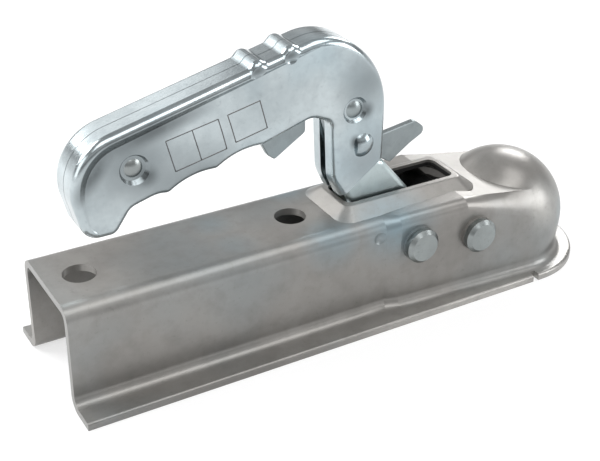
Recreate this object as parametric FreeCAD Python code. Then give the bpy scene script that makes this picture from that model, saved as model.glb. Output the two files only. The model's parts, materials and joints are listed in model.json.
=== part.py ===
"""Pressed steel coupling head that drops over a 50 mm tow ball.

Origin: centre of the ball in its socket. +X points to the towing vehicle, +Y left, +Z up.
The drawbar slides into the open rear channel and is held by two M12 bolts through the top.
"""
import FreeCAD, Part
import math
import os

os.makedirs("parts", exist_ok=True)
vector = FreeCAD.Vector

# Ball and sheet
ball_radius = 25.0
seat_play = 0.25
sheet = 3.0
seat_radius = ball_radius + seat_play
dome_radius = seat_radius + sheet

# Housing: heights and stations along the drawbar
base_z = -19.3
flange_half = 35.7
top_z = 24.35
step_top_z = 24.6
slope_top_z = 25.3
rear_x = -212.1
step_start_x = -76.0
step_end_x = -70.0
slope_start_x = -38.0
nose_top_z = 18.9
channel_half = 22.8
front_half = 24.6
channel_corner = 6.5
front_corner = 4.6
flange_bend = 4.0
skirt_bend = 6.0
flange_round = 1.2
rim_radius = 35.0
notch_start_x = -4.9
notch_width = 2.8
notch_floor_y = 31.5
dimple_x = -79.2
dimple_z = 17.4
dimple_radius = 5.0
dimple_depth = 0.9

# Platform pressed up around the handle slot
platform_rise = 4.15
platform_half = 10.8
platform_foot_half = 17.1
platform_rear_x = -88.3
platform_front_x = -31.3
platform_run = 5.6
platform_round = 1.6
platform_corner = 3.0
platform_foot_corner = 6.5
slot_rear_x = -86.6
slot_front_x = -33.0
slot_half = 8.5
slot_corner = 3.0

# Drawbar bolts
bolt_hole_radius = 6.5
bolt_spacing = 90.0
rear_bolt_from_end = 13.8

# Cross pins
pin_radius = 5.0
pin_fit = 0.03
handle_pin_x = -61.35
handle_pin_z = 11.4
jaw_pin_x = -32.5
jaw_pin_z = 8.9
pad_radius = 7.7
pad_rise = 0.8
pad_inset = 0.6
washer_radius = 7.2
washer_thick = 1.1
head_radius = 7.5
head_thick = 2.8
head_bevel = 1.5
upset_radius = 7.3

# Handle shells
handle_half = 9.2
handle_sheet = 2.0
handle_round = 3.2
handle_inner_round = 1.2
seam_gap = 0.3
catch_gap_half = 2.0
bend_low_radius = 36.0
bend_top_radius = 26.0
bend_run_ratio = 0.4
bend_drop_ratio = 0.3
bend_tail_ratio = 0.5
bend_peak_z = 103.6
neck_front_x = -69.9
neck_rear_x = -93.1
crown_x = -99.9
crown_z = 102.2
grip_end_x = -201.3
grip_end_radius = 21.0
grip_pitch = 0.245
grip_foot_x = -197.2
grip_low_z = 41.5
butt_z = 57.6
butt_radius = 14.0
pommel_radius = 7.2
pommel_front_x = -185.6
pommel_front_radius = 4.5
panel_depth = 2.3
panel_foot_radius = 8.5
panel_foot_run = 18.0
panel_wall_run = 5.25
panel_over = 0.8
panel_under = 2.2
panel_deep = (-192.0, 76.0)
panel_low = (-190.0, 46.0)
panel_front = (-110.0, 92.0)
rim_land = 1.25
neck_cut_front = (-70.6, 46.1)
neck_cut_rear = (-88.7, 32.8)
neck_cut_reach = 20.0
neck_foot_z = 20.0
neck_foot_run = 9.5
neck_knee_z = 40.0
neck_knee_radius = 14.0
neck_foot_radius = 3.5

# Rivets in the handle
grip_rivet_x = -177.5
grip_rivet_z = 66.4
neck_rivet_x = -84.9
neck_rivet_z = 69.7
rivet_shank = 2.5
rivet_head = 3.6
rivet_head_thick = 1.3
dish_flare = 2.4
rivet_dish_depth = 1.1
rivet_fit = 0.03

# Inner lever, a folded strip that carries the handle in the slot
lever_half = 7.15
lever_sheet = 2.0
lever_bush_radius = 7.6
lever_nose_reach = 19.1
lever_nose_radius = 5.0
lever_nose_angle = -35.0
bush_fit = 0.03

# Catch plate with its trigger and thumb ear
catch_half = 1.5
catch_edge = 0.3
catch_pin_x = -80.7
catch_pin_z = 53.8
catch_pin_radius = 2.5
louvre_radius = 5.0
louvre_rise = 2.2
louvre_wall = 1.0
louvre_back = 3.2

# Jaw that closes behind the ball
jaw_half = 14.0
jaw_boss = 9.0
jaw_round = 2.0
jaw_bush_radius = 7.0
link_x = -33.6
link_z = -8.0
link_pin_radius = 2.5
link_slot_half = 4.0
eye_half = 3.5
eye_radius = 5.6
eye_play = 0.45
eye_lift = 2.3
eye_sag = 0.2
eye_clearance = 1.2

# Draw rod, spring and bracket
rod_radius = 3.0
rod_end_x = -94.2
rod_edge = 0.6
bracket_x = -76.1
bracket_thick = 2.5
bracket_top_z = 5.0
bracket_low_z = -15.0
bracket_foot = 12.0
bracket_hole = 3.4
bracket_corner = 3.0
weld_gap = 0.02
spring_radius = 7.0
spring_wire = 1.0
spring_length = 9.0
spring_turns = 2.5
washer_plate = 1.5
nut_flats = 10.0
nut_height = 4.0
nut_bevel = 1.2
spring_set = 0.05
running_gap = 0.35
through = 60.0
coil_steps = 16
coil_sides = 8

# Ribs across the top of the grip: rear foot, crest and front foot of each, from where the
# neck's bend has run out
rib_stations = ((-9.1, -5.6, -1.8), (-22.7, -19.6, -15.6))
rib_height = 2.7
rib_crest_radius = 3.4
rib_foot_radius = 1.8
lip_depth = 14.0

# Underside of the grip from the pommel to the neck: two full finger hollows between three cusps
cusp_radius = 3.4
hollow_radius = 28.0
palm_line = (
    (-179.2, 50.7, 6.0),
    (-168.5, 53.7, 12.0),
    (-164.3, 52.9, cusp_radius),
    (-155.2, 58.5, hollow_radius),
    (-144.4, 58.2, cusp_radius),
    (-135.4, 63.7, hollow_radius),
    (-124.8, 63.4, cusp_radius),
    (-103.6, 69.9, 7.0),
    (-94.6, 66.2, 5.0),
)

# Side view of the gap between the shells, counter-clockwise
catch_gap_corners = (
    (-176.0, 30.0, 0),
    (-60.0, 30.0, 0),
    (-60.0, 56.0, 0),
    (-76.0, 56.0, 0),
    (-76.0, 84.0, 0),
    (-124.0, 84.0, 0),
    (-140.0, 66.0, 0),
    (-176.0, 56.0, 0),
)

# Rivets in the handle: x, z, radius and depth of the dish, inner end of the boss
grip_dish_depth = 1.9
grip_boss_y = 5.4
grip_spacer_radius = 4.0
rivet_places = (
    (grip_rivet_x, grip_rivet_z, 4.9, grip_dish_depth, grip_boss_y),
    (neck_rivet_x, neck_rivet_z, 4.4, rivet_dish_depth, lever_half),
)
# Dents in the rail below the ribs: from where the bend has run out, and from the top line
rib_dents = ((-20.0, -1.989), (-5.9, -1.8435))
rib_dent_radius = 6.0
rib_dent_depth = 1.0

# Side view of the inner lever above the pin, counter-clockwise
lever_boss = 11.0
lever_nose_root = 9.0
lever_fold_x = -74.0
lever_fold_radius = 2.4
lever_corners = (
    (-71.5, 12.0, 0),
    (-51.5, 12.0, 0),
    (-55.0, 27.0, 5.0),
    (-68.4, 43.0, 3.0),
    (-72.6, 44.6, 1.2),
    (-72.6, 77.0, 6.0),
    (-91.2, 77.0, 6.0),
    (-87.1, 34.0, 3.0),
    (-83.4, 24.0, 12.0),
)
lever_open_corners = (
    (-100.0, 0.0, 0),
    (-76.0, 0.0, 0),
    (-58.0, 18.0, 0),
    (-60.0, 26.0, 0),
    (-70.0, 39.0, 0),
    (-64.0, 46.0, 0),
    (-64.0, 90.0, 0),
    (-100.0, 90.0, 0),
)

# Side view of the catch plate, counter-clockwise
catch_notch_z = 34.5
catch_notch_top_z = 60.0
catch_notch_rear_x = -76.0
catch_bush_radius = 3.6
catch_bush_half = 2.2
catch_spring_radius = 4.4
catch_spring_wire = 0.5
catch_spring_length = 1.5
catch_spring_turns = 1.25
catch_spring_y = 3.0
catch_corners = (
    (-74.0, 43.4, 1.0),
    (-66.0, 40.8, 1.5),
    (-61.6, 38.2, 1.0),
    (-52.0, 44.8, 3.0),
    (-43.6, 49.2, 2.6),
    (-50.0, 54.4, 3.0),
    (-67.0, 51.8, 3.0),
    (-75.4, 54.2, 3.0),
    (-77.5, 61.5, 3.5),
    (-87.6, 62.0, 4.0),
    (-94.8, 80.0, 6.0),
    (-119.0, 79.0, 3.0),
    (-121.9, 60.0, 2.0),
    (-119.3, 54.9, 1.2),
    (-116.3, 52.5, 1.2),
    (-102.7, 61.2, 2.0),
    (-102.8, 76.0, 3.0),
    (-97.4, 74.0, 2.5),
    (-88.6, 44.6, 6.0),
)

# Side view of the jaw, counter-clockwise
jaw_corners = (
    (-39.2, -13.2, 3.0),
    (-35.0, -14.6, 2.0),
    (-14.0, -14.6, 0),
    (-14.0, 9.6, 0),
    (-32.7, 18.6, 0),
    (-41.7, 14.0, 4.0),
    (-40.2, 2.0, 3.0),
)
spacer_radius = 8.0


def rounded_outline(corners, place):
    """Closed wire through corners (u, v, radius), laid in space by place(u, v)."""
    points = [vector(u, v, 0) for u, v, radius in corners]
    count = len(corners)
    edges = []
    starts = []
    ends = []
    for index in range(count):
        here = points[index]
        back = (points[index - 1] - here).normalize()
        ahead = (points[(index + 1) % count] - here).normalize()
        radius = corners[index][2]
        half_angle = back.getAngle(ahead) / 2
        reach = radius / math.tan(half_angle)
        starts.append(here + back * reach)
        ends.append(here + ahead * reach)
        if radius > 0:
            bisector = (back + ahead).normalize()
            middle = here + bisector * (radius / math.sin(half_angle) - radius)
            arc_points = [place(p.x, p.y) for p in (starts[-1], middle, ends[-1])]
            edges.append(Part.Arc(*arc_points).toShape())
    for index in range(count):
        start = ends[index]
        end = starts[(index + 1) % count]
        if start.distanceToPoint(end) > 1e-4:
            edges.append(Part.LineSegment(place(start.x, start.y), place(end.x, end.y)).toShape())
    return Part.Wire(Part.__sortEdges__(edges))


def side_prism(corners, low_y, high_y):
    """Outline in the X-Z plane, extruded across."""
    wire = rounded_outline(corners, lambda u, v: vector(u, low_y, v))
    return Part.Face(wire).extrude(vector(0, high_y - low_y, 0))


def plan_prism(corners, low_z, high_z):
    """Outline in the X-Y plane, extruded upwards."""
    wire = rounded_outline(corners, lambda u, v: vector(u, v, low_z))
    return Part.Face(wire).extrude(vector(0, 0, high_z - low_z))


def end_prism(corners, low_x, high_x):
    """Outline in the Y-Z plane, extruded along the drawbar."""
    wire = rounded_outline(corners, lambda u, v: vector(low_x, u, v))
    return Part.Face(wire).extrude(vector(high_x - low_x, 0, 0))


def cross_cylinder(x, z, radius, low_y, high_y):
    """Round bar across the body."""
    return Part.makeCylinder(radius, high_y - low_y, vector(x, low_y, z), vector(0, 1, 0))


def through_hole(x, z, radius):
    """Bar longer than any part is wide, for cutting a bore right across."""
    return cross_cylinder(x, z, radius, -through, through)


def box(low, high):
    return Part.makeBox(high[0] - low[0], high[1] - low[1], high[2] - low[2], vector(*low))


def mirrored(shape):
    """The same shape on the other side of the middle plane."""
    return shape.mirror(vector(0, 0, 0), vector(0, 1, 0))


def fuse(shapes):
    return shapes[0].fuse(shapes[1:]).removeSplitter()


def edges_on(shape, test):
    """Edges whose every vertex passes the test."""
    return [e for e in shape.Edges if e.Vertexes and all(test(v.Point) for v in e.Vertexes)]


def inset_corners(corners, distance):
    """Corners of a counter-clockwise outline moved inwards by a distance, radii following."""
    count = len(corners)
    moved = []
    for index in range(count):
        here = vector(corners[index][0], corners[index][1], 0)
        before = vector(corners[index - 1][0], corners[index - 1][1], 0)
        after = vector(corners[(index + 1) % count][0], corners[(index + 1) % count][1], 0)
        arriving = (here - before).normalize()
        leaving = (after - here).normalize()
        left_in = vector(-arriving.y, arriving.x, 0)
        left_out = vector(-leaving.y, leaving.x, 0)
        shift = (left_in + left_out) / (1 + left_in.dot(left_out))
        spot = here + shift * distance
        turn = arriving.x * leaving.y - arriving.y * leaving.x
        radius = corners[index][2]
        if radius > 0:
            radius = radius - distance if turn > 0 else radius + distance
        moved.append((spot.x, spot.y, max(radius, 0)))
    return moved


# Housing

def wall_half(x):
    """Outer half-width of the front section's side wall."""
    return front_half + (dome_radius - front_half) * (x - step_end_x) / -step_end_x


def section(x, half, height, corner, inset):
    """Section of the channel at a station, closed along the base."""
    wall = half - inset
    top = height - inset
    curve = corner - inset
    low = base_z + 1 - 2 * inset
    diagonal = curve * (1 - math.sqrt(0.5))
    pieces = [
        Part.LineSegment(vector(x, -wall, low), vector(x, -wall, 0)),
        Part.LineSegment(vector(x, -wall, 0), vector(x, -wall, top - curve)),
        Part.Arc(vector(x, -wall, top - curve), vector(x, -wall + diagonal, top - diagonal),
                 vector(x, -wall + curve, top)),
        Part.LineSegment(vector(x, -wall + curve, top), vector(x, wall - curve, top)),
        Part.Arc(vector(x, wall - curve, top), vector(x, wall - diagonal, top - diagonal),
                 vector(x, wall, top - curve)),
        Part.LineSegment(vector(x, wall, top - curve), vector(x, wall, 0)),
        Part.LineSegment(vector(x, wall, 0), vector(x, wall, low)),
        Part.LineSegment(vector(x, wall, low), vector(x, -wall, low)),
    ]
    return Part.Wire([piece.toShape() for piece in pieces])


def nose_section(inset):
    """Section through the ball centre: straight walls below, round shoulders above."""
    radius = dome_radius - inset
    low = base_z + 1 - 2 * inset
    top = nose_top_z - inset
    end = math.asin(top / radius)

    def on_ball(share, side):
        angle = end * share
        return vector(0, side * radius * math.cos(angle), radius * math.sin(angle))

    pieces = [
        Part.LineSegment(vector(0, -radius, low), vector(0, -radius, 0)),
        Part.Arc(on_ball(0, -1), on_ball(0.2, -1), on_ball(0.4, -1)),
        Part.Arc(on_ball(0.4, -1), on_ball(0.7, -1), on_ball(1, -1)),
        Part.LineSegment(on_ball(1, -1), on_ball(1, 1)),
        Part.Arc(on_ball(1, 1), on_ball(0.7, 1), on_ball(0.4, 1)),
        Part.Arc(on_ball(0.4, 1), on_ball(0.2, 1), on_ball(0, 1)),
        Part.LineSegment(vector(0, radius, 0), vector(0, radius, low)),
        Part.LineSegment(vector(0, radius, low), vector(0, -radius, low)),
    ]
    return Part.Wire([piece.toShape() for piece in pieces])


def channel_block(inset):
    """Channel, step and tapering front section, down to the base."""
    stations = [
        section(rear_x - inset, channel_half, top_z, channel_corner, inset),
        section(step_start_x, channel_half, top_z, channel_corner, inset),
        section(step_end_x, front_half, step_top_z, front_corner, inset),
        section(slope_start_x, wall_half(slope_start_x), slope_top_z, front_corner, inset),
        nose_section(inset),
    ]
    return Part.makeLoft(stations, True, True)


def nose_block(inset):
    """Round front of the socket: it follows the ball below the middle, in front only."""
    radius = dome_radius - inset
    wires = []
    for depth in (0.0, lip_depth / 3, lip_depth * 2 / 3, lip_depth, -base_z - 1 + 2 * inset):
        reach = math.sqrt(radius ** 2 - min(depth, lip_depth) ** 2)
        front = Part.Arc(vector(0, radius, 0), vector(radius, 0, 0), vector(0, -radius, 0)).toShape()
        if depth > 0:
            ellipse = Part.Ellipse(vector(0, radius, -depth), vector(reach, 0, -depth),
                                   vector(0, 0, -depth))
            front = Part.ArcOfEllipse(ellipse, 0, math.pi).toShape()
        back = Part.LineSegment(vector(0, -radius, -depth), vector(0, radius, -depth)).toShape()
        wires.append(Part.Wire([front, back]))
    return Part.makeLoft(wires, True, False)


def platform_outline(run, slip, corner, height):
    """Plan of the raised land at one height."""
    low_x = platform_rear_x - run + slip
    high_x = platform_front_x + run - slip
    half = platform_half + (platform_foot_half - platform_half) * run / platform_run - slip
    corners = [(low_x, -half, corner), (high_x, -half, corner), (high_x, half, corner),
               (low_x, half, corner)]
    return rounded_outline(corners, lambda u, v: vector(u, v, height))


def platform_block(inset):
    """Raised land around the slot, with slanted sides and ends and rounded corners."""
    slip = inset * 0.6
    foot = platform_outline(platform_run, slip, platform_foot_corner, top_z - inset)
    top = platform_outline(0, slip, platform_corner, top_z + platform_rise - inset)
    land = Part.makeLoft([foot, top], True, True)
    rims = edges_on(land, lambda p: abs(p.z - top_z - platform_rise + inset) < 0.01)
    land = land.makeFillet(platform_round, rims)
    root = platform_outline(platform_run, slip, platform_foot_corner, top_z - sheet - 1)
    return land.fuse(Part.Face(root).extrude(vector(0, 0, sheet + 1 - inset)))


def half_ball(radius):
    """Upper half of a ball."""
    return Part.makeSphere(radius, vector(0, 0, 0), vector(0, 0, 1), 0, 90)


def rim_plate():
    """Flat flange on both sides of the channel, ending in the round rim below the socket."""
    edges = [
        Part.LineSegment(vector(rear_x, -flange_half, base_z), vector(0, -rim_radius, base_z)),
        Part.Arc(vector(0, -rim_radius, base_z), vector(rim_radius, 0, base_z),
                 vector(0, rim_radius, base_z)),
        Part.LineSegment(vector(0, rim_radius, base_z), vector(rear_x, flange_half, base_z)),
        Part.LineSegment(vector(rear_x, flange_half, base_z), vector(rear_x, -flange_half, base_z)),
    ]
    face = Part.Face(Part.Wire([edge.toShape() for edge in edges]))
    plate = face.extrude(vector(0, 0, sheet))
    upper = [e for e in plate.Edges if abs(e.CenterOfMass.z - base_z - sheet) < 0.01
             and e.CenterOfMass.x > rear_x + 1]
    return plate.makeFillet(flange_round, upper)


def slot_cut():
    """Opening for the lever through the raised land."""
    corners = [
        (slot_rear_x, -slot_half, slot_corner),
        (slot_front_x, -slot_half, slot_corner),
        (slot_front_x, slot_half, slot_corner),
        (slot_rear_x, slot_half, slot_corner),
    ]
    return plan_prism(corners, 0, top_z + platform_rise + 1)


def level_edges(shape, height, reach):
    """Edges at one height and near the wall, leaving out the cut across the open rear end."""
    found = []
    for edge in edges_on(shape, lambda p: abs(p.z - height) < 0.01 and abs(p.y) < reach):
        at_end = all(abs(v.Point.x - rear_x) < 0.01 for v in edge.Vertexes)
        if not at_end and abs(edge.CenterOfMass.z - height) < 0.01:
            found.append(edge)
    return found


def pad_outer(x):
    """Distance of a pin collar's outer face from the middle plane."""
    return wall_half(x) + pad_rise


def pad_inner(x):
    return wall_half(x) - sheet - pad_inset


def build_housing():
    outside = fuse([channel_block(0), nose_block(0), half_ball(dome_radius), platform_block(0),
                    rim_plate()])
    crease = level_edges(outside, base_z + sheet, dome_radius + 0.5)
    outside = outside.makeFillet(flange_bend, crease)
    inside = fuse([channel_block(sheet), nose_block(sheet), half_ball(seat_radius),
                   platform_block(sheet)])
    shell = outside.cut(inside)
    skirt = level_edges(shell, base_z, seat_radius + 0.5)
    shell = shell.makeFillet(skirt_bend, skirt)
    collars = []
    cuts = [slot_cut()]
    for x, z in ((handle_pin_x, handle_pin_z), (jaw_pin_x, jaw_pin_z)):
        collar = cross_cylinder(x, z, pad_radius, pad_inner(x), pad_outer(x))
        collars += [collar, mirrored(collar)]
        cuts.append(cross_cylinder(x, z, pin_radius + pin_fit, -flange_half, flange_half))
    for index in range(2):
        x = rear_x + rear_bolt_from_end + index * bolt_spacing
        cuts.append(Part.makeCylinder(bolt_hole_radius, 3 * sheet, vector(x, 0, top_z - 2 * sheet)))
    notch = box((notch_start_x, notch_floor_y, base_z - 1),
                (notch_start_x + notch_width, flange_half + 1, base_z + sheet + 1))
    dimple = Part.makeSphere(dimple_radius, vector(
        dimple_x, channel_half + dimple_radius - dimple_depth, dimple_z))
    cuts += [notch, mirrored(notch), dimple, mirrored(dimple)]
    return shell.fuse(collars).cut(cuts).removeSplitter()


# Cross pins with washers, spacers and bushes

def build_pin(x, z):
    """Shank with the same bevelled head on both ends."""
    seat = pad_outer(x) + washer_thick
    end = seat + head_thick
    bevel = head_bevel
    profile = [
        vector(0, -end, 0), vector(head_radius - bevel, -end, 0),
        vector(head_radius, -end + bevel, 0), vector(head_radius, -seat, 0),
        vector(pin_radius, -seat, 0), vector(pin_radius, seat, 0),
        vector(upset_radius, seat, 0), vector(upset_radius, end - bevel, 0),
        vector(upset_radius - bevel, end, 0), vector(0, end, 0), vector(0, -end, 0),
    ]
    turned = Part.Face(Part.makePolygon(profile)).revolve(vector(0, 0, 0), vector(0, 1, 0), 360)
    turned.translate(vector(x, 0, z))
    return turned


def tube(x, z, outer, inner, low_y, high_y):
    return cross_cylinder(x, z, outer, low_y, high_y).cut(
        cross_cylinder(x, z, inner, low_y - 1, high_y + 1))


def tube_pair(x, z, outer, inner, low_y, high_y):
    """Two equal rings, one on each side."""
    ring = tube(x, z, outer, inner, low_y, high_y)
    return Part.makeCompound([ring, mirrored(ring)])


# Handle

def crown(x):
    """Height of the grip's top line."""
    return crown_z + grip_pitch * (x - crown_x)


def bend_corners():
    """Lower and upper corner of the neck's bend, which move apart as their radii grow."""
    reach = bend_low_radius + bend_top_radius
    top_x = neck_front_x - bend_run_ratio * reach
    return (neck_front_x, bend_peak_z - bend_drop_ratio * reach), (top_x, crown(top_x))


def ribs_start_x():
    """Where the bend has run out and the ribs begin."""
    return bend_corners()[1][0] - bend_tail_ratio * bend_top_radius


def handle_corners(with_ribs):
    """Side view of the handle, counter-clockwise."""
    ribs = []
    if with_ribs:
        for station in rib_stations:
            rear, crest, front = [ribs_start_x() + run for run in station]
            ribs.append((front, crown(front), rib_foot_radius))
            ribs.append((crest, crown(crest) + rib_height, rib_crest_radius))
            ribs.append((rear, crown(rear), rib_foot_radius))
    bend_low, bend_top = bend_corners()
    return [
        (neck_rear_x + neck_foot_run, neck_foot_z, neck_foot_radius),
        (neck_front_x, neck_foot_z, neck_foot_radius),
        (*bend_low, bend_low_radius),
        (*bend_top, bend_top_radius),
        *ribs,
        (grip_end_x, crown(grip_end_x), grip_end_radius),
        (grip_end_x, butt_z, butt_radius),
        (grip_foot_x, grip_low_z, pommel_radius),
        (pommel_front_x, grip_low_z, pommel_front_radius),
        *palm_line,
        (neck_rear_x, neck_knee_z, neck_knee_radius),
    ]


def rounded_slab(corners, half, radius):
    """Slab of an outline with its two rims rounded."""
    slab = side_prism(corners, -half, half)
    rims = edges_on(slab, lambda p: abs(abs(p.y) - half) < 1e-4)
    rims = [e for e in rims if abs(abs(e.CenterOfMass.y) - half) < 1e-4]
    return slab.makeFillet(radius, rims)


def panel_plane(shift):
    """Half-space below the floor of the sunken side panel, which fades out downwards."""
    deep = vector(panel_deep[0], handle_half - panel_depth - shift, panel_deep[1])
    low = vector(panel_low[0], handle_half - shift, panel_low[1])
    front = vector(panel_front[0], handle_half - shift, panel_front[1])
    normal = (low - deep).cross(front - deep).normalize()
    if normal.y > 0:
        normal = normal * -1
    along = (front - low).normalize() * 4 * through
    across = normal.cross(along)
    middle = (front + low) / 2
    spots = [middle - along - across, middle + along - across, middle + along + across,
             middle - along + across]
    return Part.Face(Part.makePolygon(spots + [spots[0]])).extrude(normal * through)


def panel_cut(shift, grow):
    """Sunken side panel inside the rail: sloping walls down to a slanted floor."""
    corners = [
        (grip_end_x + 40, neck_foot_z, 0),
        (neck_rivet_x, neck_foot_z, 0),
        (neck_rivet_x, crown(neck_rivet_x), 0),
        (grip_end_x, crown(grip_end_x), grip_end_radius),
        (grip_end_x, butt_z, butt_radius),
        (grip_foot_x, grip_low_z, panel_foot_radius),
        (grip_foot_x + panel_foot_run, grip_low_z, 0),
    ]
    high_y = handle_half + panel_over - shift
    deep_y = handle_half - panel_under - shift
    wide = rounded_outline(inset_corners(corners, rim_land - grow),
                           lambda u, v: vector(u, high_y, v))
    narrow = rounded_outline(inset_corners(corners, rim_land + panel_wall_run - grow),
                             lambda u, v: vector(u, deep_y, v))
    return Part.makeLoft([wide, narrow], True, True).cut(panel_plane(shift))


def catch_gap():
    """Gap between the shells for the catch plate: below the grip and behind the neck."""
    return side_prism(catch_gap_corners, -catch_gap_half, catch_gap_half)


def louvre_cap(radius, low_y):
    """Round cap on the side of the neck, cut open towards the rear."""
    ball = Part.makeSphere(radius, vector(catch_pin_x, low_y, catch_pin_z))
    reach = 2 * louvre_radius
    window = box((catch_pin_x - louvre_back, handle_half - handle_round, catch_pin_z - reach),
                 (catch_pin_x + reach, handle_half + reach, catch_pin_z + reach))
    return ball.common(window)


def build_handle_shell():
    """Left half of the handle skin, from the middle plane outwards."""
    outer = rounded_slab(handle_corners(True), handle_half, handle_round)
    cavity_corners = inset_corners(handle_corners(False), handle_sheet)
    cavity = rounded_slab(cavity_corners, handle_half - handle_sheet, handle_inner_round)
    outer = outer.cut(panel_cut(0, 0))
    cavity = cavity.cut(panel_cut(handle_sheet, 1.0))
    ball_radius_out = (louvre_radius ** 2 + louvre_rise ** 2) / (2 * louvre_rise)
    cap_centre = handle_half + louvre_rise - ball_radius_out
    outer = outer.fuse(louvre_cap(ball_radius_out, cap_centre))
    hollow = louvre_cap(ball_radius_out - louvre_wall, cap_centre)
    dishes = []
    bosses = []
    for x, z, floor_radius, depth, boss_y in rivet_places:
        floor_y = handle_half - depth
        dishes.append(Part.makeCone(floor_radius, floor_radius + dish_flare, dish_flare,
                                    vector(x, floor_y, z), vector(0, 1, 0)))
        dishes.append(cross_cylinder(x, z, rivet_shank + rivet_fit, -1, floor_y + 1))
        bosses.append(cross_cylinder(x, z, floor_radius + 1, boss_y, floor_y - 0.5))
    for run, drop in rib_dents:
        x = ribs_start_x() + run
        dent_y = handle_half + rib_dent_radius - rib_dent_depth
        dishes.append(Part.makeSphere(rib_dent_radius, vector(x, dent_y, crown(x) + drop)))
    shell = outer.cut(cavity).fuse(bosses).cut(dishes + [hollow, catch_gap()])
    fall = (neck_cut_front[1] - neck_cut_rear[1]) / (neck_cut_front[0] - neck_cut_rear[0])
    rear_x_cut = neck_cut_rear[0] - neck_cut_reach
    front_x_cut = neck_cut_front[0] + neck_cut_reach
    below = side_prism([
        (rear_x_cut, neck_cut_rear[1] - fall * neck_cut_reach, 0),
        (rear_x_cut, base_z, 0),
        (front_x_cut, base_z, 0),
        (front_x_cut, neck_cut_front[1] + fall * neck_cut_reach, 0),
    ], -through, through)
    half = box((rear_x - through, seam_gap / 2, base_z), (0, through, 3 * through))
    return shell.common(half).cut(below)


# Inner lever, catch and their small parts

def polar(x, z, reach, degrees):
    """Point at a distance and angle from another, in the side view."""
    angle = math.radians(degrees)
    return x + reach * math.cos(angle), z + reach * math.sin(angle)


def hull_of_circles(circles, low_y, high_y):
    """Slab spanning two circles with their outer tangents, in the side view."""
    (x1, z1, r1), (x2, z2, r2) = circles
    distance = math.hypot(x2 - x1, z2 - z1)
    heading = math.degrees(math.atan2(z2 - z1, x2 - x1))
    tilt = math.degrees(math.acos((r1 - r2) / distance))
    corners = [polar(x1, z1, r1, heading - tilt), polar(x2, z2, r2, heading - tilt),
               polar(x2, z2, r2, heading + tilt), polar(x1, z1, r1, heading + tilt)]
    web = side_prism([(u, v, 0) for u, v in corners], low_y, high_y)
    return fuse([web, cross_cylinder(x1, z1, r1, low_y, high_y),
                 cross_cylinder(x2, z2, r2, low_y, high_y)])


def build_inner_lever():
    """Folded strip: two cheeks joined by a web along the front, with the cam at the bottom."""
    nose_x, nose_z = polar(handle_pin_x, handle_pin_z, lever_nose_reach, lever_nose_angle)
    blank = side_prism(lever_corners, -lever_half, lever_half)
    folds = edges_on(blank, lambda p: abs(abs(p.y) - lever_half) < 1e-4)
    folds = [e for e in folds if abs(abs(e.CenterOfMass.y) - lever_half) < 1e-4
             and e.CenterOfMass.x > lever_fold_x and e.CenterOfMass.z > handle_pin_z + lever_boss]
    blank = blank.makeFillet(lever_fold_radius, folds)
    inner = inset_corners(lever_corners, lever_sheet)
    gap = side_prism(inner, -lever_half + lever_sheet,
                     lever_half - lever_sheet)
    open_rear = side_prism(lever_open_corners, -lever_half + lever_sheet,
                           lever_half - lever_sheet)
    cam = fuse([
        cross_cylinder(handle_pin_x, handle_pin_z, lever_boss, -lever_half, lever_half),
        hull_of_circles(((handle_pin_x, handle_pin_z, lever_nose_root),
                         (nose_x, nose_z, lever_nose_radius)), -lever_half, lever_half)])
    cam_gap = box((handle_pin_x - through, -lever_half + lever_sheet, -through),
                  (handle_pin_x + through, lever_half - lever_sheet,
                   handle_pin_z + lever_boss + 1))
    body = blank.fuse(cam).cut([gap, open_rear, cam_gap])
    holes = [
        through_hole(handle_pin_x, handle_pin_z, lever_bush_radius + bush_fit),
        through_hole(neck_rivet_x, neck_rivet_z, rivet_shank + rivet_fit),
        through_hole(catch_pin_x, catch_pin_z, catch_pin_radius + rivet_fit),
        box((catch_notch_rear_x, -catch_gap_half, catch_notch_z),
            (catch_notch_rear_x + through, catch_gap_half, catch_notch_top_z)),
    ]
    return body.cut(holes).removeSplitter()


def build_catch():
    """Flat plate with the finger trigger behind the neck and the thumb ear in front."""
    plate = side_prism(catch_corners, -catch_half, catch_half)
    rims = [e for e in plate.Edges if abs(abs(e.CenterOfMass.y) - catch_half) < 1e-4]
    plate = plate.makeChamfer(catch_edge, rims)
    return plate.cut(through_hole(catch_pin_x, catch_pin_z, catch_bush_radius + bush_fit))


def coil(radius, wire, length, turns, start, direction):
    """Wire wound as an open coil from a start point along a direction, in short straight strips."""
    rings = []
    for step in range(round(turns * coil_steps) + 1):
        turn = 2 * math.pi * step / coil_steps
        rise = length * step / (turns * coil_steps)
        spots = []
        for side in range(coil_sides + 1):
            angle = 2 * math.pi * (side % coil_sides) / coil_sides
            reach = radius + wire * math.cos(angle)
            spots.append(vector(reach * math.cos(turn), reach * math.sin(turn),
                                rise + wire * math.sin(angle)))
        rings.append(Part.makePolygon(spots))
    body = Part.makeLoft(rings, True, True)
    body.Placement = FreeCAD.Placement(start, FreeCAD.Rotation(vector(0, 0, 1), direction))
    return body


def build_rivet(x, z, seat_y):
    """Short rivet with a low dome at both ends."""
    dome = (rivet_head ** 2 + rivet_head_thick ** 2) / (2 * rivet_head_thick)
    centre_y = seat_y + rivet_head_thick - dome
    cap = Part.makeSphere(dome, vector(x, centre_y, z)).common(
        cross_cylinder(x, z, rivet_head + 1, seat_y, seat_y + 2 * rivet_head_thick))
    return fuse([cross_cylinder(x, z, rivet_shank, -seat_y, seat_y), cap, mirrored(cap)])


# Jaw and its draw rod

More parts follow.
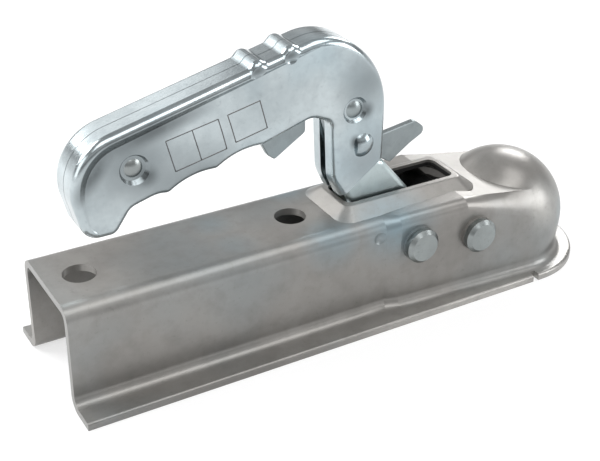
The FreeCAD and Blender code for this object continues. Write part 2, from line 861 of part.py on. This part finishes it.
def build_jaw():
    """Block behind the ball: its front is hollowed to the ball, its middle slotted for the rod."""
    block = side_prism(jaw_corners, -jaw_half, jaw_half)
    rims = [e for e in block.Edges if abs(abs(e.CenterOfMass.y) - jaw_half) < 1e-4
            and e.CenterOfMass.x < link_x]
    block = block.makeFillet(jaw_round, rims)
    hub = cross_cylinder(jaw_pin_x, jaw_pin_z, jaw_boss, -jaw_half, jaw_half)
    pocket = eye_radius + eye_clearance
    slot = fuse([
        cross_cylinder(link_x, link_z, pocket, -link_slot_half, link_slot_half),
        cross_cylinder(link_x, link_z + eye_lift, pocket, -link_slot_half, link_slot_half),
        box((link_x - through, -link_slot_half, base_z),
            (link_x, link_slot_half, link_z + eye_lift + pocket)),
        box((link_x - through, -link_slot_half, base_z),
            (link_x + pocket, link_slot_half, link_z)),
    ])
    return block.fuse(hub).cut([
        Part.makeSphere(seat_radius),
        slot,
        through_hole(jaw_pin_x, jaw_pin_z, jaw_bush_radius + bush_fit),
        through_hole(link_x, link_z, link_pin_radius + bush_fit),
    ]).removeSplitter()


def build_rod():
    """Round rod with a flat eye that takes up the rise of the link pin."""
    low = (link_x, link_z - eye_sag, eye_radius)
    high = (link_x, link_z + eye_lift, eye_radius)
    eye = hull_of_circles((low, high), -eye_half, eye_half)
    opening = link_pin_radius + eye_play
    window = hull_of_circles(((link_x, link_z - eye_sag, opening),
                              (link_x, link_z + eye_lift, opening)), -through, through)
    shank = Part.makeCylinder(rod_radius, link_x - opening - 1 - rod_end_x,
                              vector(rod_end_x, 0, link_z), vector(1, 0, 0))
    shank = shank.makeChamfer(rod_edge, [e for e in shank.Edges
                                         if abs(e.CenterOfMass.x - rod_end_x) < 0.01])
    return fuse([eye, shank]).cut(window)


def build_bracket():
    """Folded guide plate welded between the channel walls."""
    half = channel_half - sheet - weld_gap
    corner = bracket_corner
    plate = end_prism([(half, bracket_low_z, corner), (half, bracket_top_z, corner),
                       (-half, bracket_top_z, corner), (-half, bracket_low_z, corner)],
                      bracket_x - bracket_thick, bracket_x)
    foot = box((bracket_x - bracket_foot, half - bracket_thick, bracket_low_z + corner),
               (bracket_x, half, bracket_top_z - corner))
    hole = Part.makeCylinder(bracket_hole, through, vector(bracket_x - through / 2, 0, link_z),
                             vector(1, 0, 0))
    return fuse([plate, foot, mirrored(foot)]).cut(hole)


def ring_on_rod(outer, thick, rear_end):
    disc = Part.makeCylinder(outer, thick, vector(rear_end, 0, link_z), vector(1, 0, 0))
    return disc.cut(Part.makeCylinder(rod_radius + rivet_fit, thick + 2,
                                      vector(rear_end - 1, 0, link_z), vector(1, 0, 0)))


def build_nut(rear_end):
    """Hexagon nut with bevelled corners."""
    corner = nut_flats / math.sqrt(3)
    spots = [vector(rear_end, corner * math.cos(math.radians(60 * k)),
                    link_z + corner * math.sin(math.radians(60 * k))) for k in range(7)]
    prism = Part.Face(Part.makePolygon(spots)).extrude(vector(nut_height, 0, 0))
    cone = Part.makeCone(corner - nut_bevel, corner + nut_height - nut_bevel, nut_height,
                         vector(rear_end, 0, link_z), vector(1, 0, 0))
    bore = Part.makeCylinder(rod_radius + rivet_fit, nut_height + 2,
                             vector(rear_end - 1, 0, link_z), vector(1, 0, 0))
    return prism.common(cone).cut(bore)


def write(name, shape):
    shape.exportStep("parts/" + name + ".step")
    print(name, "solids", len(shape.Solids), "valid", shape.isValid(), "volume", round(shape.Volume))


def main():
    write("housing", build_housing())
    write("handle_pin", build_pin(handle_pin_x, handle_pin_z))
    write("jaw_pin", build_pin(jaw_pin_x, jaw_pin_z))
    for name, x, z, inner_end in (("handle", handle_pin_x, handle_pin_z, lever_half),
                                  ("jaw", jaw_pin_x, jaw_pin_z, jaw_half)):
        bore = pin_radius + pin_fit
        face = pad_outer(x)
        write(name + "_pin_washers", tube_pair(x, z, washer_radius, bore, face,
                                               face + washer_thick))
        write(name + "_pin_spacers", tube_pair(x, z, spacer_radius, bore,
                                               inner_end + running_gap, pad_inner(x)))
    bore = pin_radius + pin_fit
    write("lever_bush", tube(handle_pin_x, handle_pin_z, lever_bush_radius, bore,
                             -lever_half, lever_half))
    write("jaw_bush", tube(jaw_pin_x, jaw_pin_z, jaw_bush_radius, bore, -jaw_half, jaw_half))

    left = build_handle_shell()
    write("handle_shell_left", left)
    write("handle_shell_right", mirrored(left))
    write("grip_rivet", build_rivet(grip_rivet_x, grip_rivet_z, handle_half - grip_dish_depth))
    write("neck_rivet", build_rivet(neck_rivet_x, neck_rivet_z, handle_half - rivet_dish_depth))
    write("grip_spacer", tube(grip_rivet_x, grip_rivet_z, grip_spacer_radius,
                              rivet_shank + rivet_fit,
                              -grip_boss_y, grip_boss_y))
    write("inner_lever", build_inner_lever())
    write("catch_pin", cross_cylinder(catch_pin_x, catch_pin_z, catch_pin_radius,
                                      -lever_half, lever_half))
    write("catch_bush", tube(catch_pin_x, catch_pin_z, catch_bush_radius,
                             catch_pin_radius + pin_fit, -catch_bush_half, catch_bush_half))
    write("safety_catch", build_catch())
    spring_start = vector(catch_pin_x, catch_spring_y, catch_pin_z)
    write("catch_spring", coil(catch_spring_radius, catch_spring_wire, catch_spring_length,
                               catch_spring_turns, spring_start, vector(0, 1, 0)))

    write("ball_jaw", build_jaw())
    write("jaw_link_pin", cross_cylinder(link_x, link_z, link_pin_radius,
                                         -jaw_half + 0.4, jaw_half - 0.4))
    write("spring_rod", build_rod())
    write("spring_bracket", build_bracket())
    rear = bracket_x - bracket_thick
    washer_rear = rear - spring_length - washer_plate
    write("spring_washer", ring_on_rod(spring_radius + 1, washer_plate, washer_rear))
    write("rod_nut", build_nut(washer_rear - nut_height))
    write("main_spring", coil(spring_radius - spring_wire, spring_wire,
                              spring_length - 2 * spring_wire - 8 * spring_set, spring_turns,
                              vector(rear - spring_wire - spring_set, 0, link_z),
                              vector(-1, 0, 0)))


main()
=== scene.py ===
from collections import namedtuple
import json
import math

import bmesh
import bpy
from mathutils import Matrix, Vector


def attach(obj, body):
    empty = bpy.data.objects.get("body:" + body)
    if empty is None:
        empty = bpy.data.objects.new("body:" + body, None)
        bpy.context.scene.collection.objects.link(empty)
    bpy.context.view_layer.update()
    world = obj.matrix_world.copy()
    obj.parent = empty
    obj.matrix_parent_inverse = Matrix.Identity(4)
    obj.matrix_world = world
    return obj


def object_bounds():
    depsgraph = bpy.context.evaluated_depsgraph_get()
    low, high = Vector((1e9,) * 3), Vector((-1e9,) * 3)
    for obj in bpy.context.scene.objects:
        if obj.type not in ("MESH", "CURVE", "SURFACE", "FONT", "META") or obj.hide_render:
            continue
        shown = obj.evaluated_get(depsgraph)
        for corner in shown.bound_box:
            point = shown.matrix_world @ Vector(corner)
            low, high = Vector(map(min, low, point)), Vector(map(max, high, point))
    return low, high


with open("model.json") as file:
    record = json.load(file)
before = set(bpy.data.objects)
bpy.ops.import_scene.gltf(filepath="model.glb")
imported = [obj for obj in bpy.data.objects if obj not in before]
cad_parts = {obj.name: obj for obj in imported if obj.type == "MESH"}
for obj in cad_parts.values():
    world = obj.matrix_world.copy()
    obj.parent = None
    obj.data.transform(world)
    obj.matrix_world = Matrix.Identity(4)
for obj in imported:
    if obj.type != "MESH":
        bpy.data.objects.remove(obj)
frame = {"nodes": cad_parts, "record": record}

# Camera solved from the bolt holes, the dome and the channel edges in the photo
PHOTO_WIDTH = 600
PHOTO_HEIGHT = 461
FOCAL_PIXELS = 1207.63
CAMERA_PLACE = Vector((-0.320968, -0.366872, 0.265276))
CAMERA_RIGHT = Vector((0.86475828, -0.5019407, 0.0157687))
CAMERA_DOWN = Vector((-0.24137442, -0.4429721, -0.86343159))
CAMERA_FORWARD = Vector((0.44037655, 0.74285345, -0.50421944))
SENSOR_MM = 36.0

# Slot in the platform, whose cut edges and inside get painted shade
SLOT_REAR = -0.0868
SLOT_FRONT = -0.0328
SLOT_HALF = 0.0087
SLOT_EDGE_Z = 0.0272

# Soft spots of another tone, for bluish tints and for painted shade and painted light: centre
# and reach in metres, turn about the side's normal in degrees, and strength at the centre
Spot = namedtuple("Spot", "centre reach turn share")


def ball_spot(centre, radius, share):
    return Spot(centre, (radius, radius, radius), 0.0, share)


BLUE_ON_HOUSING = (
    ball_spot((-0.072, 0.024, 0.025), 0.026, 0.9),
    ball_spot((-0.100, 0.024, 0.024), 0.020, 0.8),
    ball_spot((0.022, 0.026, 0.004), 0.016, 0.7),
    ball_spot((-0.140, 0.010, 0.024), 0.016, 0.4),
)
# Painted shade on the housing: darker spots on the dimple and the wall below it, and a dark
# line along the flange's outer edge
PAINTED_SHADE_ON_HOUSING = (
    Spot((-0.0800, 0.0285, 0.0185), (0.0080, 0.0060, 0.0070), 0.0, 0.5),
    Spot((-0.0857, 0.0290, 0.0040), (0.0120, 0.0080, 0.0240), 0.0, 0.3),
    Spot((-0.1000, 0.0359, -0.0180), (0.1600, 0.0009, 0.0040), 0.0, 0.9),
)
# Painted light on the housing: lighter spots on the flange top and on the right of the dome
PAINTED_LIGHT_ON_HOUSING = (
    Spot((-0.0300, 0.0340, -0.0180), (0.1100, 0.0080, 0.0040), 0.0, 0.8),
    ball_spot((0.0060, 0.0280, 0.0120), 0.0160, 0.6),
)
# Painted shade on the grip side: dark spots under the rail, at the rear bend, round the
# rivets, at the spring hole and below the ribs
PAINTED_SHADE_ON_HANDLE = (
    ball_spot((-0.178, 0.009, 0.068), 0.026, 0.6),
    ball_spot((-0.155, 0.009, 0.050), 0.030, 0.75),
    ball_spot((-0.081, 0.009, 0.080), 0.020, 0.5),
    ball_spot((-0.076, 0.009, 0.046), 0.022, 0.4),
    Spot((-0.1690, 0.0090, 0.0790), (0.0330, 0.0060, 0.0060), 14.7, 1.0),
    Spot((-0.1925, 0.0088, 0.0675), (0.0180, 0.0060, 0.0056), 51.6, 1.0),
    Spot((-0.1729, 0.0090, 0.0627), (0.0062, 0.0060, 0.0062), 0.0, 1.0),
    Spot((-0.0800, 0.0092, 0.0685), (0.0052, 0.0060, 0.0052), 0.0, 1.0),
    Spot((-0.0845, 0.0092, 0.0560), (0.0034, 0.0060, 0.0042), 0.0, 1.0),
    Spot((-0.1275, 0.0092, 0.0940), (0.0056, 0.0040, 0.0034), 15.0, 1.0),
    Spot((-0.1137, 0.0092, 0.0974), (0.0056, 0.0040, 0.0034), 15.0, 1.0),
)


# Noise scales, in cells per metre, and the depth of the bumps in metres
PATCH_SCALE = 28.0
BLUE_SCALE_SHARE = 0.6
MOTTLE_SCALE = 160.0
SPECK_SCALE = 520.0
GRAIN_SCALE = 900.0
WAVE_SCALE = 45.0
GRAIN_STRENGTH = 0.05
GRAIN_DEPTH = 0.0004
WAVE_DEPTH = 0.002

# Tones of the marks: shares of the dark tone for painted shade or the light tone for painted
# light, and the grey of the painted shade inside the slot
PAINTED_SHADE_TONE = 0.3
PAINTED_LIGHT_TONE = 1.6
MOTTLE_TONE = 0.75
SPECK_TONE = 0.6
SLOT_SHADE_GREY = 0.035
BLUE_BOOST = 1.8

Plating = namedtuple(
    "Plating",
    "name dark light tint roughness metallic patch_scale wave tint_share "
    "blue_spots dull_spots pale_spots slot",
    defaults=(1.0, PATCH_SCALE, 0.0, 0.5, (), (), (), False))

PLATINGS = {
    "zinc_sheet": Plating("zinc sheet", (0.224, 0.216, 0.204), (0.300, 0.291, 0.276),
                          (0.20, 0.28, 0.32), (0.28, 0.40), metallic=0.55, wave=0.10,
                          tint_share=0.25, blue_spots=BLUE_ON_HOUSING,
                          dull_spots=PAINTED_SHADE_ON_HOUSING, pale_spots=PAINTED_LIGHT_ON_HOUSING, slot=True),
    "handle_zinc": Plating("handle zinc", (0.38, 0.43, 0.45), (0.56, 0.62, 0.64),
                           (0.33, 0.45, 0.51), (0.15, 0.26), patch_scale=34.0, wave=0.12,
                           dull_spots=PAINTED_SHADE_ON_HANDLE),
    "lever_zinc": Plating("lever zinc", (0.40, 0.47, 0.48), (0.54, 0.62, 0.63),
                          (0.38, 0.50, 0.55), (0.26, 0.38)),
    "catch_zinc": Plating("catch zinc", (0.24, 0.27, 0.28), (0.33, 0.37, 0.38),
                          (0.32, 0.42, 0.46), (0.32, 0.44)),
    "bright_zinc": Plating("bright zinc", (0.25, 0.27, 0.27), (0.34, 0.37, 0.37),
                           (0.34, 0.44, 0.48), (0.26, 0.38)),
    "dark_steel": Plating("dark steel", (0.10, 0.10, 0.10), (0.15, 0.15, 0.15),
                          (0.11, 0.12, 0.14), (0.35, 0.5)),
    "spring_steel": Plating("spring steel", (0.09, 0.09, 0.09), (0.14, 0.14, 0.14),
                            (0.1, 0.1, 0.13), (0.3, 0.4)),
    "cast_jaw": Plating("cast jaw", (0.08, 0.08, 0.08), (0.13, 0.13, 0.13),
                        (0.1, 0.1, 0.12), (0.45, 0.6)),
    "bronze_bush": Plating("bronze bush", (0.36, 0.25, 0.11), (0.45, 0.33, 0.15),
                           (0.36, 0.25, 0.11), (0.3, 0.4)),
}

# World: light on matt surfaces, and grey by height for camera and metal
MATT_LIGHT = 0.4
SKY_TONES = ((0.0, 1.0), (0.07, 1.0), (0.14, 0.26), (0.24, 0.26), (0.42, 0.72), (0.62, 0.42),
             (1.0, 0.5))

# Floor: half its width, gap below the object, albedo for seeing and lighting rays, and the
# glow by distance, which leaves the shadow near the object
FLOOR_HALF = 3.0
FLOOR_GAP = 0.0002
FLOOR_SEEN = 0.34
FLOOR_LIT = 0.78
GLOW_DISTANCE = (0.3, 0.9)
GLOW_STRENGTH = (0.67, 1.0)

# Lamps: name, place, target, width and height, watts
LAMPS = (
    ("key", (-0.35, -0.55, 1.05), (-0.08, 0, 0.02), (0.9, 0.6), 4.7),
    ("overhead", (0.25, -0.25, 0.95), (-0.03, 0, 0), (0.6, 0.5), 2.4),
    ("far right", (0.75, 0.62, 0.5), (0, 0, 0), (0.4, 0.3), 4.0),
    ("front right", (0.8, -0.65, 0.4), (0, 0, 0.01), (0.5, 0.5), 4.0),
    ("far left", (-0.35, 1.0, 0.6), (-0.18, 0, 0.02), (0.9, 0.4), 1.3),
    ("side", (-0.95, -0.1, 0.35), (-0.15, 0, 0.04), (0.5, 0.5), 1.5),
    ("rear floor", (-0.5, 0.3, 0.35), (-0.36, 0.12, -0.02), (0.3, 0.3), 3.0),
)

# Thin raised frames on the side of the grip, as corners in the side view
HANDLE_HALF = 0.0092
FRAME_SETS = (
    ((-0.1648, 0.0744), (-0.1440, 0.0788), (-0.1409, 0.0664), (-0.1618, 0.0620)),
    ((-0.1402, 0.0796), (-0.1270, 0.0827), (-0.1239, 0.0711), (-0.1371, 0.0681)),
)
FRAME_BAR = ((-0.1544, 0.0766), (-0.1513, 0.0642))
RIDGE_WIDTH = 0.00028
RIDGE_HEIGHT = 0.00020
RIDGE_STEPS = 12
RIDGE_PROFILE = ((-1.0, -0.5), (-0.6, 0.55), (0.0, 1.0), (0.6, 0.55), (1.0, -0.5))


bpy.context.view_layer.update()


def add_camera():
    data = bpy.data.cameras.new("camera")
    data.sensor_width = SENSOR_MM
    data.lens = FOCAL_PIXELS * SENSOR_MM / PHOTO_WIDTH
    data.clip_start = 0.01
    data.clip_end = 20
    camera = bpy.data.objects.new("camera", data)
    bpy.context.scene.collection.objects.link(camera)
    turn = Matrix((CAMERA_RIGHT, -CAMERA_DOWN, -CAMERA_FORWARD)).transposed()
    camera.matrix_world = Matrix.Translation(CAMERA_PLACE) @ turn.to_4x4()
    bpy.context.scene.camera = camera


# Materials

def new_material(name):
    material = bpy.data.materials.new(name)
    material.use_nodes = True
    nodes = material.node_tree.nodes
    shader = nodes["Principled BSDF"]
    return material, nodes, material.node_tree.links, shader


def noise(nodes, links, coordinates, scale, detail=3.0, roughness=0.55):
    texture = nodes.new("ShaderNodeTexNoise")
    texture.inputs["Scale"].default_value = scale
    texture.inputs["Detail"].default_value = detail
    texture.inputs["Roughness"].default_value = roughness
    links.new(coordinates, texture.inputs["Vector"])
    return texture.outputs["Fac"]


def ramp(nodes, links, value, stops):
    """Colour ramp through (position, colour) stops."""
    node = nodes.new("ShaderNodeValToRGB")
    bar = node.color_ramp
    while len(bar.elements) < len(stops):
        bar.elements.new(0.5)
    for element, (position, colour) in zip(bar.elements, stops):
        element.position = position
        element.color = (*colour, 1)
    links.new(value, node.inputs["Fac"])
    return node.outputs["Color"]


def grey(value):
    return (value, value, value)


def mirrored(nodes, links, place):
    """Coordinates folded over the middle plane, so that both sides look alike."""
    split = nodes.new("ShaderNodeSeparateXYZ")
    links.new(place, split.inputs["Vector"])
    join = nodes.new("ShaderNodeCombineXYZ")
    links.new(split.outputs["X"], join.inputs["X"])
    links.new(math_node(nodes, links, "ABSOLUTE", split.outputs["Y"], 0.0), join.inputs["Y"])
    links.new(split.outputs["Z"], join.inputs["Z"])
    return join.outputs["Vector"]


def near(nodes, links, place, spot):
    """A spot's share at its centre, falling softly to nothing at its reach."""
    frame_of_spot = nodes.new("ShaderNodeMapping")
    frame_of_spot.vector_type = "TEXTURE"
    frame_of_spot.inputs["Location"].default_value = spot.centre
    frame_of_spot.inputs["Rotation"].default_value = (0, -math.radians(spot.turn), 0)
    frame_of_spot.inputs["Scale"].default_value = spot.reach
    links.new(place, frame_of_spot.inputs["Vector"])
    distance = nodes.new("ShaderNodeVectorMath")
    distance.operation = "LENGTH"
    links.new(frame_of_spot.outputs["Vector"], distance.inputs[0])
    share = nodes.new("ShaderNodeMapRange")
    share.interpolation_type = "SMOOTHSTEP"
    share.inputs["From Min"].default_value = 0.0
    share.inputs["From Max"].default_value = 1.0
    share.inputs["To Min"].default_value = spot.share
    share.inputs["To Max"].default_value = 0.0
    links.new(distance.outputs["Value"], share.inputs["Value"])
    return share.outputs["Result"]


def math_node(nodes, links, operation, first, second):
    """Sum, product or comparison of two values; the second may be a plain number."""
    node = nodes.new("ShaderNodeMath")
    node.operation = operation
    links.new(first, node.inputs[0])
    if isinstance(second, float):
        node.inputs[1].default_value = second
    else:
        links.new(second, node.inputs[1])
    return node.outputs["Value"]


def slot_shade_mask(nodes, links, place):
    """One on the cut edges of the slot and below them, where painted shade goes, nothing
    elsewhere.
    """
    split = nodes.new("ShaderNodeSeparateXYZ")
    links.new(place, split.inputs["Vector"])
    side = math_node(nodes, links, "ABSOLUTE", split.outputs["Y"], 0.0)
    narrow = math_node(nodes, links, "LESS_THAN", side, SLOT_HALF)
    ahead = math_node(nodes, links, "GREATER_THAN", split.outputs["X"], SLOT_REAR)
    behind = math_node(nodes, links, "LESS_THAN", split.outputs["X"], SLOT_FRONT)
    low = math_node(nodes, links, "LESS_THAN", split.outputs["Z"], SLOT_EDGE_Z)
    first = math_node(nodes, links, "MULTIPLY", narrow, ahead)
    second = math_node(nodes, links, "MULTIPLY", behind, low)
    return math_node(nodes, links, "MULTIPLY", first, second)


def mixed(nodes, links, share, base, colour):
    """Base colour blended towards a fixed colour by a share."""
    mix = nodes.new("ShaderNodeMix")
    mix.data_type = "RGBA"
    links.new(share, mix.inputs["Factor"])
    links.new(base, mix.inputs[6])
    mix.inputs[7].default_value = (*colour, 1)
    return mix.outputs[2]


def marked(nodes, links, place, scale, colour, bounds, strength, mark):
    """Colour with marks of another tone where a fine noise is high."""
    texture = noise(nodes, links, place, scale[0], scale[1], scale[2])
    mask = ramp(nodes, links, texture, [(bounds[0], grey(0.0)), (bounds[1], grey(strength))])
    return mixed(nodes, links, mask, colour, mark)


def shares_of(colour, share):
    return tuple(channel * share for channel in colour)


def plating_colour(nodes, links, place, clouds, plating):
    """Cloudy base with bluish patches, painted shade and painted light spots, mottling, fine
    specks and painted shade in the slot.
    """
    colour = ramp(nodes, links, clouds, [(0.3, plating.dark), (0.7, plating.light)])
    blue = noise(nodes, links, place, plating.patch_scale * BLUE_SCALE_SHARE, 2.0, 0.5)
    mask = ramp(nodes, links, blue, [(0.48, grey(0.0)), (0.7, grey(plating.tint_share))])
    folded = mirrored(nodes, links, place)
    for spot in plating.blue_spots:
        uneven = math_node(nodes, links, "MULTIPLY", near(nodes, links, folded, spot), clouds)
        strong = math_node(nodes, links, "MULTIPLY", uneven, BLUE_BOOST)
        mask = math_node(nodes, links, "MAXIMUM", mask, strong)
    colour = mixed(nodes, links, mask, colour, plating.tint)
    # Painted shade: spots blended towards a share of the dark tone
    for spot in plating.dull_spots:
        colour = mixed(nodes, links, near(nodes, links, folded, spot), colour,
                       shares_of(plating.dark, PAINTED_SHADE_TONE))
    # Painted light: spots blended towards a share of the light tone, brighter than the light
    # tone
    for spot in plating.pale_spots:
        colour = mixed(nodes, links, near(nodes, links, folded, spot), colour,
                       shares_of(plating.light, PAINTED_LIGHT_TONE))
    colour = marked(nodes, links, place, (MOTTLE_SCALE, 3.0, 0.65), colour, (0.45, 0.75), 0.35,
                    shares_of(plating.dark, MOTTLE_TONE))
    colour = marked(nodes, links, place, (SPECK_SCALE, 2.0, 0.7), colour, (0.62, 0.8), 0.3,
                    shares_of(plating.dark, SPECK_TONE))
    # Painted shade: the slot's cut edges and inside are blended to a near-black grey
    if plating.slot:
        colour = mixed(nodes, links, slot_shade_mask(nodes, links, place), colour, grey(SLOT_SHADE_GREY))
    return colour


def bumped(nodes, links, height, strength, depth):
    bump = nodes.new("ShaderNodeBump")
    bump.inputs["Strength"].default_value = strength
    bump.inputs["Distance"].default_value = depth
    links.new(height, bump.inputs["Height"])
    return bump


def zinc(plating):
    """Zinc plating or bare metal with a fine grain and, where wanted, slow waves."""
    material, nodes, links, shader = new_material(plating.name)
    place = nodes.new("ShaderNodeTexCoord").outputs["Object"]
    clouds = noise(nodes, links, place, plating.patch_scale, 4.0, 0.6)
    colour = plating_colour(nodes, links, place, clouds, plating)
    links.new(colour, shader.inputs["Base Color"])
    shader.inputs["Metallic"].default_value = plating.metallic
    smooth, rough = plating.roughness
    tone = ramp(nodes, links, clouds, [(0.25, grey(smooth)), (0.75, grey(rough))])
    links.new(tone, shader.inputs["Roughness"])
    fine = noise(nodes, links, place, GRAIN_SCALE, 2.0, 0.6)
    grain = bumped(nodes, links, fine, GRAIN_STRENGTH, GRAIN_DEPTH)
    if plating.wave:
        slow = noise(nodes, links, place, WAVE_SCALE, 1.0, 0.4)
        waves = bumped(nodes, links, slow, plating.wave, WAVE_DEPTH)
        links.new(waves.outputs["Normal"], grain.inputs["Normal"])
    links.new(grain.outputs["Normal"], shader.inputs["Normal"])
    return material


def paint_nodes():
    looks = {slot: zinc(plating) for slot, plating in PLATINGS.items()}
    for part in frame["record"]["subparts"]:
        node = frame["nodes"][part["node"]]
        node.data.materials.clear()
        node.data.materials.append(looks[part["material_slot"]])
    return looks


# Light

def add_lamps():
    for name, place, target, size, watts in LAMPS:
        data = bpy.data.lights.new(name, "AREA")
        data.shape = "RECTANGLE"
        data.size, data.size_y = size
        data.energy = watts
        lamp = bpy.data.objects.new(name, data)
        bpy.context.scene.collection.objects.link(lamp)
        lamp.location = place
        aim = Vector(target) - Vector(place)
        lamp.rotation_euler = aim.to_track_quat("-Z", "Y").to_euler()


def sees_background(nodes, links):
    """One for camera, mirror and see-through rays, so that metal shows the background too."""
    path = nodes.new("ShaderNodeLightPath")
    mirrored = math_node(nodes, links, "MAXIMUM", path.outputs["Is Camera Ray"],
                         path.outputs["Is Glossy Ray"])
    return math_node(nodes, links, "MAXIMUM", mirrored, path.outputs["Is Transmission Ray"])


def white_world():
    """White horizon below a soft grey studio, seen by the camera and the metal alike."""
    world = bpy.data.worlds.new("studio")
    world.use_nodes = True
    bpy.context.scene.world = world
    nodes = world.node_tree.nodes
    links = world.node_tree.links
    nodes.clear()
    out = nodes.new("ShaderNodeOutputWorld")
    pick = nodes.new("ShaderNodeMixShader")
    seen = nodes.new("ShaderNodeBackground")
    seen.inputs["Strength"].default_value = 1.0
    lit = nodes.new("ShaderNodeBackground")
    lit.inputs["Color"].default_value = (*grey(MATT_LIGHT), 1)
    lit.inputs["Strength"].default_value = 1.0
    split = nodes.new("ShaderNodeSeparateXYZ")
    links.new(nodes.new("ShaderNodeTexCoord").outputs["Generated"], split.inputs["Vector"])
    tone = ramp(nodes, links, split.outputs["Z"],
                [(height, grey(value)) for height, value in SKY_TONES])
    links.new(tone, seen.inputs["Color"])
    links.new(sees_background(nodes, links), pick.inputs["Fac"])
    links.new(lit.outputs["Background"], pick.inputs[1])
    links.new(seen.outputs["Background"], pick.inputs[2])
    links.new(pick.outputs["Shader"], out.inputs["Surface"])


def diffuse(nodes, albedo):
    shade = nodes.new("ShaderNodeBsdfDiffuse")
    shade.inputs["Color"].default_value = (*grey(albedo), 1)
    return shade.outputs["BSDF"]


def floor_glow(nodes, links):
    """Glow that fills up to white away from the object and leaves its shadow near it."""
    distance = nodes.new("ShaderNodeVectorMath")
    distance.operation = "LENGTH"
    links.new(nodes.new("ShaderNodeTexCoord").outputs["Object"], distance.inputs[0])
    strength = nodes.new("ShaderNodeMapRange")
    strength.interpolation_type = "SMOOTHSTEP"
    strength.inputs["From Min"].default_value = GLOW_DISTANCE[0]
    strength.inputs["From Max"].default_value = GLOW_DISTANCE[1]
    strength.inputs["To Min"].default_value = GLOW_STRENGTH[0]
    strength.inputs["To Max"].default_value = GLOW_STRENGTH[1]
    links.new(distance.outputs["Value"], strength.inputs["Value"])
    glow = nodes.new("ShaderNodeEmission")
    links.new(strength.outputs["Result"], glow.inputs["Strength"])
    return glow.outputs["Emission"]


def floor_material():
    """White to camera and metal, with the object's shadow; plain pale to the other rays."""
    material = bpy.data.materials.new("floor")
    material.use_nodes = True
    nodes = material.node_tree.nodes
    links = material.node_tree.links
    nodes.clear()
    out = nodes.new("ShaderNodeOutputMaterial")
    pick = nodes.new("ShaderNodeMixShader")
    seen = nodes.new("ShaderNodeAddShader")
    links.new(diffuse(nodes, FLOOR_SEEN), seen.inputs[0])
    links.new(floor_glow(nodes, links), seen.inputs[1])
    links.new(sees_background(nodes, links), pick.inputs["Fac"])
    links.new(diffuse(nodes, FLOOR_LIT), pick.inputs[1])
    links.new(seen.outputs["Shader"], pick.inputs[2])
    links.new(pick.outputs["Shader"], out.inputs["Surface"])
    return material


def add_floor():
    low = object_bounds()[0][2] - FLOOR_GAP
    corners = [(x, y, low) for x, y in ((-FLOOR_HALF, -FLOOR_HALF), (FLOOR_HALF, -FLOOR_HALF),
                                        (FLOOR_HALF, FLOOR_HALF), (-FLOOR_HALF, FLOOR_HALF))]
    mesh = bpy.data.meshes.new("floor")
    mesh.from_pydata(corners, [], [(0, 1, 2, 3)])
    mesh.materials.append(floor_material())
    floor = bpy.data.objects.new("floor", mesh)
    bpy.context.scene.collection.objects.link(floor)


# Raised frames on the side of the grip

def grip_side(x, z):
    """Distance of the grip's sunken side from the middle plane."""
    sunken = 0.02116 + 0.0443 * x - 0.07705 * z
    return min(HANDLE_HALF, sunken)


def ridge(mesh, start, end):
    """Low rounded ridge between two points on the side of the grip."""
    along = Vector((end[0] - start[0], 0, end[1] - start[1]))
    across = Vector((-along.z, 0, along.x)).normalized() * RIDGE_WIDTH
    rows = []
    for step in range(RIDGE_STEPS + 1):
        middle = Vector((start[0], 0, start[1])) + along * (step / RIDGE_STEPS)
        row = []
        for side, rise in RIDGE_PROFILE:
            spot = middle + across * side
            spot.y = -(grip_side(spot.x, spot.z) + RIDGE_HEIGHT * rise)
            row.append(mesh.verts.new(spot))
        rows.append(row)
    for low, high in zip(rows, rows[1:]):
        for index in range(len(RIDGE_PROFILE) - 1):
            mesh.faces.new((low[index], high[index], high[index + 1], low[index + 1]))
    mesh.faces.new(list(reversed(rows[0])))
    mesh.faces.new(rows[-1])


def add_frames(material):
    mesh = bmesh.new()
    for corners in FRAME_SETS:
        for start, end in zip(corners, corners[1:] + corners[:1]):
            ridge(mesh, start, end)
    ridge(mesh, *FRAME_BAR)
    bmesh.ops.recalc_face_normals(mesh, faces=mesh.faces)
    data = bpy.data.meshes.new("grip_frames")
    mesh.to_mesh(data)
    mesh.free()
    for face in data.polygons:
        face.use_smooth = True
    piece = bpy.data.objects.new("grip_frames", data)
    bpy.context.scene.collection.objects.link(piece)
    data.materials.append(material)
    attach(piece, "handle")


add_camera()
add_frames(paint_nodes()["dark_steel"])
white_world()
add_floor()
add_lamps()

bpy.context.scene.view_settings.view_transform = "Standard"
